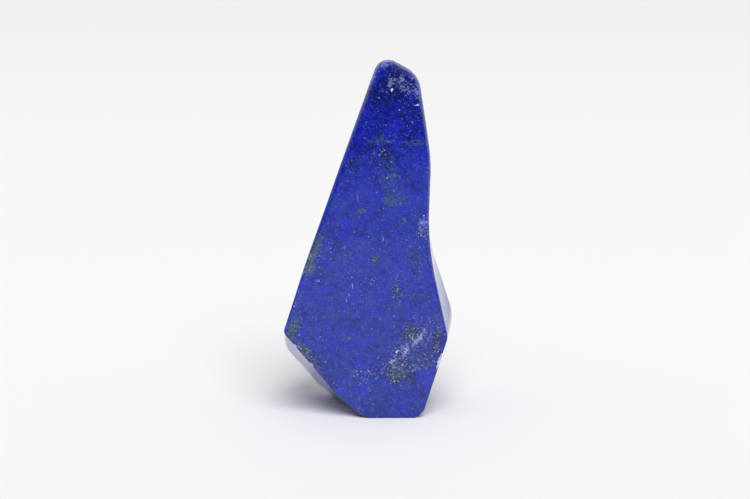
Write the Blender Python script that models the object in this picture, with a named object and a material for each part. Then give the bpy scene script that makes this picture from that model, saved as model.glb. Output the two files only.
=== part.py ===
"""A polished freeform of lapis lazuli: one upright slab of stone.

The front face is nearly flat and ends in a crisp edge. The flanks flare a little behind it at the
lower left and the lower right, the back is two broad facets that meet in a soft ridge, the top is
a rounded nose, and the foot is cut flat, so that the stone stands by itself.

Metres, +Z up. The front face looks along -Y, and the origin lies on the flat foot.
Sizes below are millimetres and are turned into metres where the mesh is made.
"""

import math
from collections import namedtuple

import bmesh
import bpy
from mathutils import Vector

MM = 0.001
NODE_NAME = "lapis_stone"

# Driving sizes of the slab
HEIGHT = 112.5
FRONT_DEPTH = 13.0
BACK_DEPTH = 21.5
GIRDLE_DEPTH_LOW = 13.0
GIRDLE_DEPTH_TOP = 1.5

# The front face leans back above this height, by this much at the very top
LEAN_START = 50.0
LEAN_AT_TOP = 6.0

# The front face bows across its width, more tightly towards the narrow top
FACE_MIDDLE_AT_FOOT = -7.0
FACE_MIDDLE_SLOPE = 0.075
BOW_AT_FOOT = 0.0005
BOW_AT_TOP = 0.0024

# The back: its fullest height, how it falls away above and below, and its soft ridge
BACK_FULL_HEIGHT = 30.0
BACK_FALL = 30.0
RIDGE_AT_FOOT = -2.0
RIDGE_SLOPE = -0.02
RIDGE_SOFTNESS = 6.0
BACK_SLOPE = 0.24
BACK_SLOPE_SKEW = 0.05

# How late the front face's bow tightens and the girdle comes forward on the way up
BOW_LATENESS = 2
GIRDLE_LATENESS = 1.5

# Rounding where the flank turns over the girdle and over the edge of the back
GIRDLE_ROUND = 10.0
BACK_EDGE_ROUND = 6.5

# An arc takes up less than half of either leg, and a corner this slight isn't rounded
LONGEST_REACH = 0.47
LEAST_TURN = 0.0001

# Where the back's inner rim lies, as a share of the way from its edge to the ridge
BACK_RIM_SHARE = 0.32
RIDGE_LOW_END = 25.0
RIDGE_HIGH_END = 84.0

# The front face's net starts this many edge radii inside the outline, and the edge's arc takes up
# at most this share of what lies between
FACE_INSET = 1.3
FACE_REACH = 0.9

# The walk around each outline, seen from the front: the steps in each corner's arc, and the
# steps along the side that follows it. The feet, the shoulder and the nose halve their arcs
# between two sides of the face, so those steps are even.
Stop = namedtuple("Stop", "name arc_steps side_steps")
WALK = (
    Stop("foot_right", 4, 8),
    Stop("right_corner", 6, 4),
    Stop("waist", 6, 2),
    Stop("bulge", 4, 7),
    Stop("shoulder", 8, 4),
    Stop("nose", 8, 15),
    Stop("left_bow", 2, 4),
    Stop("left_corner", 6, 2),
    Stop("knuckle", 2, 2),
    Stop("low_left", 2, 2),
    Stop("foot_left", 4, 8),
)
FACE_ROWS = 43
FACE_COLUMNS = 12

# Corners before rounding: x, z and the radius that rounds them
Corner = namedtuple("Corner", "x z radius")
FRONT_EDGE = {
    "foot_right": Corner(9.75, 0.0, 4.8),
    "right_corner": Corner(17.8, 26.0, 5.0),
    "waist": Corner(11.4, 55.5, 105.0),
    "bulge": Corner(12.5, 81.5, 60.0),
    "shoulder": Corner(9.0, 109.65, 8.2),
    "nose": Corner(-3.5, 115.6, 4.3),
    "left_bow": Corner(-26.6, 50.0, 200.0),
    "left_corner": Corner(-33.7, 27.8, 2.2),
    "knuckle": Corner(-27.3, 20.3, 15.0),
    "low_left": Corner(-18.2, 9.2, 15.0),
    "foot_left": Corner(-8.5, 0.0, 7.5),
}
GIRDLE = {
    "foot_right": Corner(10.4, 0.0, 4.0),
    "right_corner": Corner(21.2, 27.3, 18.0),
    "waist": Corner(11.1, 56.2, 90.0),
    "bulge": Corner(11.7, 79.5, 60.0),
    "shoulder": Corner(7.0, 104.4, 11.0),
    "nose": Corner(-3.0, 110.4, 7.0),
    "left_bow": Corner(-25.2, 49.0, 200.0),
    "left_corner": Corner(-35.35, 17.3, 8.5),
    "knuckle": Corner(-29.2, 10.6, 12.0),
    "low_left": Corner(-24.0, 4.1, 12.0),
    "foot_left": Corner(-19.0, 0.0, 4.0),
}
BACK_EDGE = {
    "foot_right": Corner(7.4, 0.0, 4.0),
    "right_corner": Corner(16.8, 26.5, 16.0),
    "waist": Corner(8.4, 57.0, 80.0),
    "bulge": Corner(8.4, 78.0, 60.0),
    "shoulder": Corner(4.4, 98.0, 9.0),
    "nose": Corner(-2.8, 101.5, 7.0),
    "left_bow": Corner(-20.8, 50.0, 200.0),
    "left_corner": Corner(-30.2, 20.0, 9.0),
    "knuckle": Corner(-25.4, 13.2, 5.0),
    "low_left": Corner(-20.4, 6.6, 12.0),
    "foot_left": Corner(-14.6, 0.0, 4.0),
}

# Radius between the front face and the flank at each corner: crisp below, soft at the nose
FRONT_ROUND = {
    "foot_right": 0.7,
    "right_corner": 0.8,
    "waist": 1.6,
    "bulge": 2.2,
    "shoulder": 3.4,
    "nose": 3.0,
    "left_bow": 0.9,
    "left_corner": 0.5,
    "knuckle": 0.4,
    "low_left": 0.5,
    "foot_left": 0.6,
}

# Steps across the flank, from the front face to the back
FRONT_ROUND_STEPS = 4
FLANK_STEPS = 3
GIRDLE_ROUND_STEPS = 4
BACK_SIDE_STEPS = 1
BACK_ROUND_STEPS = 4

LAPIS_BLUE = (0.032, 0.043, 0.36, 1.0)
POLISHED = 0.12


def front_depth_at(x, z):
    """How far along Y the front face lies at a place of the outline's plane."""
    rise = max(0.0, z - LEAN_START) / (HEIGHT - LEAN_START)
    bow = BOW_AT_FOOT + (BOW_AT_TOP - BOW_AT_FOOT) * (z / HEIGHT) ** BOW_LATENESS
    middle = FACE_MIDDLE_AT_FOOT + FACE_MIDDLE_SLOPE * z
    return -FRONT_DEPTH + LEAN_AT_TOP * rise**2 + bow * (x - middle) ** 2


def girdle_depth_at(z):
    """How far along Y the widest line of the flank lies at a height."""
    share = (z / HEIGHT) ** GIRDLE_LATENESS
    return GIRDLE_DEPTH_LOW + (GIRDLE_DEPTH_TOP - GIRDLE_DEPTH_LOW) * share


def ridge_at(z):
    """Where the soft ridge of the back runs, as an x at a height."""
    return RIDGE_AT_FOOT + RIDGE_SLOPE * z


def back_depth_at(x, z):
    """How far along Y the back lies: two facets that fall away from the soft ridge."""
    fall = BACK_FALL * ((z - BACK_FULL_HEIGHT) / HEIGHT) ** 2
    aside = x - ridge_at(z)
    reach = math.hypot(aside, RIDGE_SOFTNESS)
    slope = BACK_SLOPE + BACK_SLOPE_SKEW * aside / reach
    return BACK_DEPTH - fall - slope * (reach - RIDGE_SOFTNESS)


def rounded_corner(before, corner, after, radius, steps, share=LONGEST_REACH):
    """The points of an arc that rounds a corner between two straight legs."""
    back, ahead = before - corner, after - corner
    turn = math.pi - back.angle(ahead)
    half = math.tan(turn / 2)
    reach = min(radius * half, share * back.length, LONGEST_REACH * ahead.length)
    start = corner + back.normalized() * reach
    end = corner + ahead.normalized() * reach
    if turn < LEAST_TURN:
        return [start.lerp(end, step / steps) for step in range(steps + 1)]
    inward = (back.normalized() + ahead.normalized()).normalized()
    centre = corner + inward * (reach / half) / math.cos(turn / 2)
    points = []
    for step in range(steps + 1):
        first = math.sin((1 - step / steps) * turn) / math.sin(turn)
        last = math.sin(step / steps * turn) / math.sin(turn)
        points.append(centre + (start - centre) * first + (end - centre) * last)
    return points


def walk_outline(corners):
    """The outline's points, from the middle of the right foot's arc up the right side."""
    places = [Vector((corners[stop.name].x, corners[stop.name].z)) for stop in WALK]
    arcs = []
    for index, stop in enumerate(WALK):
        before, after = places[index - 1], places[(index + 1) % len(WALK)]
        radius = corners[stop.name].radius
        arcs.append(rounded_corner(before, places[index], after, radius, stop.arc_steps))
    points = []
    for index, stop in enumerate(WALK):
        points += arcs[index]
        leg_start, leg_end = arcs[index][-1], arcs[(index + 1) % len(WALK)][0]
        for step in range(1, stop.side_steps):
            points.append(leg_start.lerp(leg_end, step / stop.side_steps))
    half_foot = WALK[0].arc_steps // 2
    return points[half_foot:] + points[:half_foot]


def walk_values(values):
    """A value at each point of the outline, held in the arcs and blended along the sides."""
    found = []
    for index, stop in enumerate(WALK):
        here, there = values[stop.name], values[WALK[(index + 1) % len(WALK)].name]
        found += [here] * (stop.arc_steps + 1)
        for step in range(1, stop.side_steps):
            found.append(here + (there - here) * step / stop.side_steps)
    half_foot = WALK[0].arc_steps // 2
    return found[half_foot:] + found[:half_foot]


def inward_normals(outline):
    """The unit vector that points into the face at each point of an outline."""
    normals = []
    for index, here in enumerate(outline):
        arriving = (here - outline[index - 1]).normalized()
        leaving = (outline[(index + 1) % len(outline)] - here).normalized()
        along = (arriving + leaving).normalized()
        normals.append(Vector((-along.y, along.x)))
    return normals


def flank_rib(face_point, front, girdle, back, back_rim, front_round):
    """One line of points across the flank, from the front face to the back."""
    steps = FRONT_ROUND_STEPS
    over_front = rounded_corner(face_point, front, girdle, front_round, steps, FACE_REACH)
    over_girdle = rounded_corner(front, girdle, back, GIRDLE_ROUND, GIRDLE_ROUND_STEPS)
    over_back = rounded_corner(girdle, back, back_rim, BACK_EDGE_ROUND, BACK_ROUND_STEPS)
    rib = [face_point] + over_front
    for step in range(1, FLANK_STEPS):
        rib.append(over_front[-1].lerp(over_girdle[0], step / FLANK_STEPS))
    rib += over_girdle
    for step in range(1, BACK_SIDE_STEPS):
        rib.append(over_girdle[-1].lerp(over_back[0], step / BACK_SIDE_STEPS))
    return rib + over_back + [back_rim]


def flank_ribs():
    """All the ribs of the flank, one for each point of the outlines."""
    front = walk_outline(FRONT_EDGE)
    girdle = walk_outline(GIRDLE)
    back = walk_outline(BACK_EDGE)
    rounds = walk_values(FRONT_ROUND)
    ribs = []
    for index, inward in enumerate(inward_normals(front)):
        edge, wide, far = front[index], girdle[index], back[index]
        face = edge + inward * FACE_INSET * rounds[index]
        ridge_height = min(max(far.y, RIDGE_LOW_END), RIDGE_HIGH_END)
        rim = far.lerp(Vector((ridge_at(ridge_height), ridge_height)), BACK_RIM_SHARE)
        ribs.append(
            flank_rib(
                Vector((face.x, front_depth_at(face.x, face.y), face.y)),
                Vector((edge.x, front_depth_at(edge.x, edge.y), edge.y)),
                Vector((wide.x, girdle_depth_at(wide.y), wide.y)),
                Vector((far.x, back_depth_at(far.x, far.y), far.y)),
                Vector((rim.x, back_depth_at(rim.x, rim.y), rim.y)),
                rounds[index],
            )
        )
    return ribs


def rim_index(row, column):
    """Where along a ring of points a place on the rim of the net lies."""
    if column == 0:
        return row
    if column == FACE_COLUMNS:
        return 2 * FACE_ROWS + FACE_COLUMNS - row
    return -column if row == 0 else FACE_ROWS + column


def net_place(ring, row, column):
    """A place inside a ring of points, blended from the ring's four sides."""
    up, over = row / FACE_ROWS, column / FACE_COLUMNS
    left, right = ring[rim_index(row, 0)], ring[rim_index(row, FACE_COLUMNS)]
    low, high = ring[rim_index(0, column)], ring[rim_index(FACE_ROWS, column)]
    low_left, low_right = ring[rim_index(0, 0)], ring[rim_index(0, FACE_COLUMNS)]
    high_left = ring[rim_index(FACE_ROWS, 0)]
    high_right = ring[rim_index(FACE_ROWS, FACE_COLUMNS)]
    sides = left * (1 - over) + right * over + low * (1 - up) + high * up
    corners = (low_left * (1 - over) + low_right * over) * (1 - up)
    corners += (high_left * (1 - over) + high_right * over) * up
    return sides - corners


def add_net(bm, ring, depth_at):
    """Closes one end of the flank with a net of faces that follows the face's own depth."""
    places = [vert.co.copy() for vert in ring]
    net = {}
    for row in range(FACE_ROWS + 1):
        for column in range(FACE_COLUMNS + 1):
            if 0 < row < FACE_ROWS and 0 < column < FACE_COLUMNS:
                place = net_place(places, row, column)
                place.y = depth_at(place.x / MM, place.z / MM) * MM
                net[row, column] = bm.verts.new(place)
            else:
                net[row, column] = ring[rim_index(row, column)]
    for row in range(FACE_ROWS):
        for column in range(FACE_COLUMNS):
            spots = ((row, column), (row, column + 1), (row + 1, column + 1), (row + 1, column))
            bm.faces.new([net[spot] for spot in spots])


def stone_mesh():
    """The whole stone as one closed mesh: the flank, the front face and the back."""
    bm = bmesh.new()
    columns = [[bm.verts.new(point * MM) for point in rib] for rib in flank_ribs()]
    for index, rib in enumerate(columns):
        following = columns[(index + 1) % len(columns)]
        for step in range(len(rib) - 1):
            bm.faces.new((rib[step], rib[step + 1], following[step + 1], following[step]))
    add_net(bm, [rib[0] for rib in columns], front_depth_at)
    add_net(bm, [rib[-1] for rib in columns], back_depth_at)
    bmesh.ops.recalc_face_normals(bm, faces=bm.faces)
    mesh = bpy.data.meshes.new(NODE_NAME)
    bm.to_mesh(mesh)
    bm.free()
    return mesh


def lapis_material():
    """Polished ultramarine stone."""
    material = bpy.data.materials.new("polished_lapis")
    material.use_nodes = True
    shader = material.node_tree.nodes["Principled BSDF"]
    shader.inputs["Base Color"].default_value = LAPIS_BLUE
    shader.inputs["Roughness"].default_value = POLISHED
    return material


def make_stone():
    mesh = stone_mesh()
    mesh.shade_smooth()
    mesh.materials.append(lapis_material())
    stone = bpy.data.objects.new(NODE_NAME, mesh)
    bpy.context.scene.collection.objects.link(stone)


def clear_scene():
    for thing in list(bpy.data.objects):
        bpy.data.objects.remove(thing, do_unlink=True)


clear_scene()
make_stone()
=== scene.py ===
import math
from collections import namedtuple

import bmesh
import bpy
import numpy as np
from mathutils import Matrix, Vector, noise


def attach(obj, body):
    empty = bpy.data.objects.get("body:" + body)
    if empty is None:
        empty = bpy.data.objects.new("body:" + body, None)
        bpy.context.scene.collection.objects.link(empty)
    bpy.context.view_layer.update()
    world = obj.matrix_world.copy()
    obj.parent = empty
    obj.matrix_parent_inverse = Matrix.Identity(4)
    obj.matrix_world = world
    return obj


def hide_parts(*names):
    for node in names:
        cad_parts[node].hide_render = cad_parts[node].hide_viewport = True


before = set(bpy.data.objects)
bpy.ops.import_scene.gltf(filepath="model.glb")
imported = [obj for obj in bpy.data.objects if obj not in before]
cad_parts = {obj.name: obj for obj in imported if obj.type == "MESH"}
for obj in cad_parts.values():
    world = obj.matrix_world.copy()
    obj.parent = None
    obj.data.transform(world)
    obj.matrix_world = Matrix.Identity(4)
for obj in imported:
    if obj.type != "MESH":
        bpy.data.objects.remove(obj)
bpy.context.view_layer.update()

MM = 0.001

# The slab's driving sizes in millimetres, the same as its solid's
HEIGHT = 112.5
FRONT_DEPTH = 13.0
BACK_DEPTH = 21.5
GIRDLE_DEPTH_LOW = 13.0
GIRDLE_DEPTH_TOP = 1.5

# The front face leans back above this height, by this much at the very top
LEAN_START = 50.0
LEAN_AT_TOP = 6.0

# The front face bows across its width, more tightly towards the narrow top
FACE_MIDDLE_AT_FOOT = -7.0
FACE_MIDDLE_SLOPE = 0.075
BOW_AT_FOOT = 0.0005
BOW_AT_TOP = 0.0024

# The back: its fullest height, how it falls away above and below, and its soft ridge
BACK_FULL_HEIGHT = 30.0
BACK_FALL = 30.0
RIDGE_AT_FOOT = -2.0
RIDGE_SLOPE = -0.02
RIDGE_SOFTNESS = 6.0
BACK_SLOPE = 0.24
BACK_SLOPE_SKEW = 0.05

# How late the front face's bow tightens and the girdle comes forward on the way up
BOW_LATENESS = 2
GIRDLE_LATENESS = 1.5

# Rounding where the flank turns over the girdle and over the edge of the back
GIRDLE_ROUND = 10.0
BACK_EDGE_ROUND = 6.5

# An arc takes up less than half of either leg, and a corner this slight isn't rounded
LONGEST_REACH = 0.47
LEAST_TURN = 0.0001

# Where the back's inner rim lies, as a share of the way from its edge to the ridge
BACK_RIM_SHARE = 0.32
RIDGE_LOW_END = 25.0
RIDGE_HIGH_END = 84.0

# The front face's net starts this many edge radii inside the outline, and the edge's arc takes up
# at most this share of what lies between
FACE_INSET = 1.3
FACE_REACH = 0.9

# The walk around each outline, seen from the front: the steps in each corner's arc and along
# the side that follows it, each of which is cut into finer ones
FINER = 6
Stop = namedtuple("Stop", "name arc_steps side_steps")
WALK = tuple(
    Stop(name, arc * FINER, side * FINER)
    for name, arc, side in (
        ("foot_right", 4, 8),
        ("right_corner", 6, 4),
        ("waist", 6, 2),
        ("bulge", 4, 7),
        ("shoulder", 8, 4),
        ("nose", 8, 15),
        ("left_bow", 2, 4),
        ("left_corner", 6, 2),
        ("knuckle", 2, 2),
        ("low_left", 2, 2),
        ("foot_left", 4, 8),
    )
)
FACE_ROWS = 43 * FINER
FACE_COLUMNS = 12 * FINER

# Corners before rounding: x, z and the radius that rounds them
Corner = namedtuple("Corner", "x z radius")
FRONT_EDGE = {
    "foot_right": Corner(9.75, 0.0, 4.8),
    "right_corner": Corner(17.8, 26.0, 5.0),
    "waist": Corner(11.4, 55.5, 105.0),
    "bulge": Corner(12.5, 81.5, 60.0),
    "shoulder": Corner(9.0, 109.65, 8.2),
    "nose": Corner(-3.5, 115.6, 4.3),
    "left_bow": Corner(-26.6, 50.0, 200.0),
    "left_corner": Corner(-33.7, 27.8, 2.2),
    "knuckle": Corner(-27.3, 20.3, 15.0),
    "low_left": Corner(-18.2, 9.2, 15.0),
    "foot_left": Corner(-8.5, 0.0, 7.5),
}
GIRDLE = {
    "foot_right": Corner(10.4, 0.0, 4.0),
    "right_corner": Corner(21.2, 27.3, 18.0),
    "waist": Corner(11.1, 56.2, 90.0),
    "bulge": Corner(11.7, 79.5, 60.0),
    "shoulder": Corner(7.0, 104.4, 11.0),
    "nose": Corner(-3.0, 110.4, 7.0),
    "left_bow": Corner(-25.2, 49.0, 200.0),
    "left_corner": Corner(-35.35, 17.3, 8.5),
    "knuckle": Corner(-29.2, 10.6, 12.0),
    "low_left": Corner(-24.0, 4.1, 12.0),
    "foot_left": Corner(-19.0, 0.0, 4.0),
}
BACK_EDGE = {
    "foot_right": Corner(7.4, 0.0, 4.0),
    "right_corner": Corner(16.8, 26.5, 16.0),
    "waist": Corner(8.4, 57.0, 80.0),
    "bulge": Corner(8.4, 78.0, 60.0),
    "shoulder": Corner(4.4, 98.0, 9.0),
    "nose": Corner(-2.8, 101.5, 7.0),
    "left_bow": Corner(-20.8, 50.0, 200.0),
    "left_corner": Corner(-30.2, 20.0, 9.0),
    "knuckle": Corner(-25.4, 13.2, 5.0),
    "low_left": Corner(-20.4, 6.6, 12.0),
    "foot_left": Corner(-14.6, 0.0, 4.0),
}

# The radius that rounds the front edge at each corner of its outline
FRONT_ROUND = {
    "foot_right": 0.7,
    "right_corner": 0.8,
    "waist": 1.6,
    "bulge": 2.2,
    "shoulder": 3.4,
    "nose": 3.0,
    "left_bow": 0.9,
    "left_corner": 0.5,
    "knuckle": 0.4,
    "low_left": 0.5,
    "foot_left": 0.6,
}

# Steps across the flank, from the front face to the back
FRONT_ROUND_STEPS = 8
FLANK_STEPS = 24
GIRDLE_ROUND_STEPS = 12
BACK_SIDE_STEPS = 8
BACK_ROUND_STEPS = 12
BACK_RIM_STEPS = 6

# Polishing leaves the faces very slightly wavy: height and length of the waves, the small waves'
# share of both, and how far above the foot the waves reach their full height
WAVE_HEIGHT = 0.05
WAVE_LENGTH = 11.0
SMALL_WAVES = 0.4
FOOT_STAYS_FLAT = 2.5

# Small chips broken out of the edges: where the ball that cuts each one sits, and its radius
Scoop = namedtuple("Scoop", "x y z radius")
SCOOPS = (
    Scoop(16.80, -13.50, 20.2, 1.50),
    Scoop(16.30, -13.60, 18.5, 1.75),
    Scoop(15.85, -13.50, 16.9, 1.50),
    Scoop(15.35, -13.35, 15.6, 1.15),
    Scoop(-30.41, -13.13, 23.1, 1.00),
    Scoop(-25.35, -13.30, 17.0, 1.05),
)

# Within this distance of a chip each edge of the mesh is cut this often, and the chip's pale
# colour goes a little past the chip
CHIP_REACH = 0.7
CHIP_CUTS = 3
CHIP_RIM = 0.04

# Patches of other minerals on the front face: place, half width and half height in millimetres,
# turn in degrees and strength. A patch fades in between these many half widths from its middle.
PATCH_FADE = (1.5, 0.5)
GREEN_PATCHES = (
    (-24.5, 53.5, 1.9, 6.3, -24, 0.90),
    (-25.5, 48.4, 1.9, 2.5, -24, 1.00),
    (-3.5, 87.9, 4.7, 0.9, 0, 0.62),
    (7.0, 87.5, 4.3, 0.9, 0, 0.58),
    (-2.5, 89.2, 1.2, 1.3, 0, 0.60),
    (-0.7, 77.3, 2.8, 3.8, 0, 0.45),
    (0.9, 69.9, 3.1, 2.9, 10, 0.50),
    (-9.0, 66.4, 1.2, 1.0, 0, 0.70),
    (4.0, 63.6, 0.6, 0.8, 0, 1.00),
    (-5.0, 51.4, 1.2, 1.3, 0, 0.60),
    (-30.6, 29.2, 1.6, 3.8, -20, 0.85),
    (-27.5, 22.8, 1.2, 2.9, 40, 0.80),
    (-23.5, 17.0, 1.1, 2.9, 42, 0.55),
    (14.1, 23.8, 0.9, 1.3, 0, 0.90),
    (15.3, 27.7, 0.6, 1.3, 0, 0.80),
    (1.6, 14.8, 2.8, 3.2, 0, 0.48),
    (6.5, 26.5, 6.5, 3.0, 40, 0.35),
    (9.0, 18.5, 6.0, 3.0, 30, 0.30),
    (-12.2, 14.5, 1.9, 1.6, 0, 0.30),
    (2.2, 41.5, 1.2, 2.9, 10, 0.40),
    (6.9, 27.4, 1.6, 1.6, 0, 0.50),
    (2.7, 105.9, 2.5, 1.0, -20, 0.40),
    (-0.7, 82.2, 1.9, 1.9, 0, 0.35),
    (-9.7, 6.0, 1.9, 1.9, 0, 0.25),
    (14.0, 31.9, 1.9, 2.9, 0, 0.30),
    (-14.4, 26.4, 1.6, 1.3, 0, 0.25),
    (-28.4, 38.2, 1.2, 3.2, -20, 0.35),
)
CALCITE_PATCHES = (
    (3.9, 103.8, 3.7, 1.0, -27, 0.66),
    (-0.3, 105.6, 0.8, 1.6, -15, 0.85),
    (3.1, 106.8, 1.0, 1.4, 0, 0.70),
    (7.0, 103.2, 1.8, 1.0, -25, 0.75),
    (-5.2, 110.2, 1.6, 2.0, -30, 0.40),
    (0.8, 106.2, 1.6, 1.0, 0, 0.70),
    (5.4, 105.9, 1.2, 1.3, 0, 0.45),
    (8.2, 101.4, 0.9, 1.3, 0, 0.50),
    (9.8, 61.7, 1.6, 3.5, 0, 0.62),
    (9.2, 26.4, 1.0, 1.7, 0, 0.80),
    (10.3, 28.4, 0.9, 1.0, 0, 0.60),
    (5.0, 22.1, 1.2, 1.4, 40, 0.60),
    (0.9, 19.0, 1.2, 0.6, 20, 0.70),
    (7.5, 24.5, 1.2, 1.3, 45, 0.55),
    (-0.1, 87.9, 1.2, 0.5, 0, 0.60),
    (1.9, 21.8, 0.7, 0.3, 15, 1.00),
    (-22.9, 44.3, 0.6, 0.4, 20, 0.90),
    (-2.2, 111.3, 2.2, 0.8, 25, 0.50),
    (4.5, 22.0, 9.5, 2.4, 42, 0.42),
    (9.5, 17.5, 4.5, 2.5, 20, 0.25),
    (-16.0, 9.9, 1.6, 1.0, -20, 0.35),
    (-9.4, 2.8, 1.6, 0.5, 0, 0.30),
    (-5.3, 108.3, 0.8, 2.5, -18, 0.35),
)
DARK_PATCHES = (
    (15.6, 21.8, 0.9, 0.5, 64, 0.80),
    (14.5, 17.0, 1.7, 0.4, 64, 0.90),
    (2.4, 105.3, 5.0, 5.4, -10, 0.75),
    (1.0, 97.5, 13.0, 8.0, 0, 0.24),
    (5.0, 28.0, 2.2, 2.0, 0, 0.60),
    (6.5, 20.5, 8.5, 5.0, 38, 0.35),
    (3.0, 16.0, 6.0, 3.5, 10, 0.35),
    (6.0, 15.5, 2.0, 3.0, 0, 0.50),
    (7.5, 101.0, 0.8, 1.9, 0, 1.00),
    (-2.2, 101.1, 2.8, 2.5, 0, 0.50),
    (-2.5, 84.7, 1.4, 1.7, 0, 0.75),
    (1.8, 41.2, 1.2, 2.9, 10, 0.55),
    (6.2, 27.7, 2.4, 2.4, 0, 0.90),
    (1.6, 14.5, 3.1, 3.5, 0, 0.95),
    (14.7, 25.1, 1.8, 3.6, 0, 0.75),
    (-25.0, 19.9, 4.7, 1.3, -45, 0.55),
    (-30.6, 28.6, 1.9, 3.5, -20, 0.60),
    (-5.0, 51.1, 1.2, 1.3, 0, 0.50),
    (7.1, 50.4, 1.6, 4.4, 0, 0.35),
    (-11.2, 81.9, 1.9, 2.9, -20, 0.40),
    (-0.1, 83.1, 1.6, 1.6, 0, 0.35),
    (10.2, 59.9, 1.9, 2.5, 0, 0.40),
    (4.0, 31.3, 5.6, 1.6, 0, 0.20),
    (-9.6, 101.6, 1.2, 5.1, -20, 0.30),
    (8.4, 38.3, 3.1, 2.5, 0, 0.25),
    (-24.8, 56.0, 2.5, 4.4, -24, 0.35),
    (-17.7, 51.7, 0.8, 1.0, 0, 0.50),
    (-12.7, 67.4, 1.6, 1.6, 0, 0.25),
    (-5.9, 41.5, 0.9, 1.3, 0, 0.20),
)
BRIGHT_PATCHES = (
    (-7.8, 96.8, 0.9, 1.3, 0, 0.70),
    (1.1, 93.5, 2.2, 3.5, 0, 0.75),
    (-5.3, 78.2, 1.6, 1.0, 0, 0.70),
    (-7.8, 64.6, 0.9, 1.0, 0, 0.70),
    (-14.0, 62.4, 1.9, 1.9, 0, 0.60),
    (-19.9, 41.5, 1.1, 1.6, 0, 0.80),
    (-4.7, 39.6, 0.9, 1.0, 0, 0.80),
    (-11.5, 38.0, 0.9, 0.8, 0, 0.80),
    (-6.2, 49.5, 0.9, 0.8, 0, 0.60),
    (1.8, 49.2, 1.6, 1.0, 0, 0.50),
    (5.1, 33.2, 0.9, 0.8, 0, 0.80),
    (-8.8, 23.9, 0.9, 0.8, 0, 0.80),
    (-3.8, 33.8, 0.8, 1.0, 0, 0.60),
    (10.2, 46.9, 0.9, 1.0, 0, 0.50),
    (-17.7, 19.8, 1.1, 1.0, 0, 0.60),
    (-15.8, 27.6, 0.9, 1.0, 0, 0.60),
    (11.9, 25.1, 0.9, 1.0, 0, 0.80),
    (-9.4, 16.8, 1.2, 1.3, 0, 0.50),
    (-15.5, 8.6, 1.6, 1.0, -20, 0.70),
    (-8.5, 9.9, 0.9, 0.6, 0, 0.60),
    (2.7, 70.8, 0.8, 1.3, 0, 0.50),
    (0.9, 74.8, 1.1, 0.6, 0, 0.60),
    (-13.4, 57.0, 1.9, 0.8, -10, 0.60),
    (-12.1, 83.7, 0.9, 1.9, -20, 0.70),
    (-14.9, 77.2, 0.8, 7.0, -19, 0.60),
    (-27.4, 43.7, 1.6, 1.0, 0, 0.50),
    (-15.6, 47.2, 1.2, 1.0, 0, 0.40),
    (6.0, 101.7, 1.6, 1.3, 0, 0.70),
    (7.6, 97.4, 1.2, 1.0, 0, 0.60),
    (-2.5, 95.9, 1.2, 1.9, 0, 0.40),
    (10.7, 14.1, 2.2, 1.9, 0, 0.35),
    (3.5, 4.0, 1.6, 1.0, 0, 0.50),
    (8.8, 80.6, 1.2, 1.3, 0, 0.40),
    (7.2, 91.0, 2.6, 3.0, 0, 0.50),
    (-7.6, 90.2, 2.4, 3.6, -20, 0.45),
    (-2.6, 92.5, 2.2, 2.4, 0, 0.35),
    (-2.2, 85.3, 3.1, 1.0, 0, 0.25),
)
PYRITE_PATCHES = (
    (1.6, 14.5, 3.4, 3.5, 0, 0.90),
    (4.0, 19.0, 7.0, 4.0, 35, 0.35),
    (11.5, 28.0, 4.0, 5.0, 0, 0.40),
    (5.9, 27.7, 2.2, 2.5, 0, 0.80),
    (14.4, 25.1, 1.6, 3.5, 0, 0.70),
    (-5.0, 51.1, 1.6, 1.3, 0, 0.70),
    (-2.5, 84.7, 1.6, 1.3, 0, 0.50),
    (-12.1, 81.6, 1.9, 2.9, -20, 0.45),
    (-0.7, 77.6, 3.1, 4.4, 0, 0.12),
    (-24.8, 52.2, 2.8, 7.0, -24, 0.45),
    (-30.3, 28.6, 1.9, 4.4, -20, 0.45),
    (-25.7, 20.6, 4.3, 1.6, -45, 0.60),
    (1.8, 41.5, 1.6, 3.8, 10, 0.50),
    (2.4, 105.0, 4.3, 4.8, 0, 0.15),
    (-9.0, 66.4, 1.2, 1.0, 0, 0.40),
    (-6.9, 14.2, 4.3, 3.2, 0, 0.35),
    (8.4, 28.7, 6.2, 3.2, 0, 0.40),
    (7.4, 52.6, 2.5, 5.1, 0, 0.30),
    (-6.9, 9.9, 0.9, 1.0, 0, 0.50),
    (5.4, 13.2, 1.2, 1.9, 0, 0.50),
    (7.3, 3.4, 1.2, 0.6, 0, 0.40),
)

# Thin pale scratches and wisps on the front face: middle, half length and half width in
# millimetres, turn in degrees and strength. A streak is at its full strength up to this share of
# the way from its middle.
STREAK_CORE = 0.2
PALE_STREAKS = (
    (-12.0, 42.8, 1.5, 0.18, 100, 0.55),
    (-13.0, 39.9, 0.6, 0.18, 100, 0.45),
    (-13.9, 38.2, 0.9, 0.18, 105, 0.45),
    (-10.3, 70.8, 2.6, 0.16, 92, 0.16),
    (-2.5, 57.6, 0.9, 0.25, 80, 0.45),
    (4.9, 21.9, 1.9, 0.28, 42, 0.50),
    (4.4, 22.6, 1.4, 0.25, -38, 0.45),
    (2.0, 21.9, 0.8, 0.32, 15, 0.95),
    (0.4, 18.6, 1.8, 0.35, 18, 0.42),
    (3.7, 17.4, 0.6, 0.25, -35, 0.60),
    (9.4, 26.6, 0.5, 1.4, -20, 0.35),
    (7.8, 25.0, 2.2, 1.1, 50, 0.22),
    (8.2, 98.9, 1.3, 0.36, 6, 1.00),
    (9.2, 98.3, 0.8, 0.34, 70, 1.00),
    (15.0, 18.2, 3.6, 0.32, 73, 0.75),
)

# Which painted layer holds which zone, channel by channel
ZONE_LAYERS = {
    "green_calcite_dark": ("green", "calcite", "dark"),
    "bright_pyrite_highlight_chips": ("bright", "pyrite", "highlight_and_chips"),
}
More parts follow.
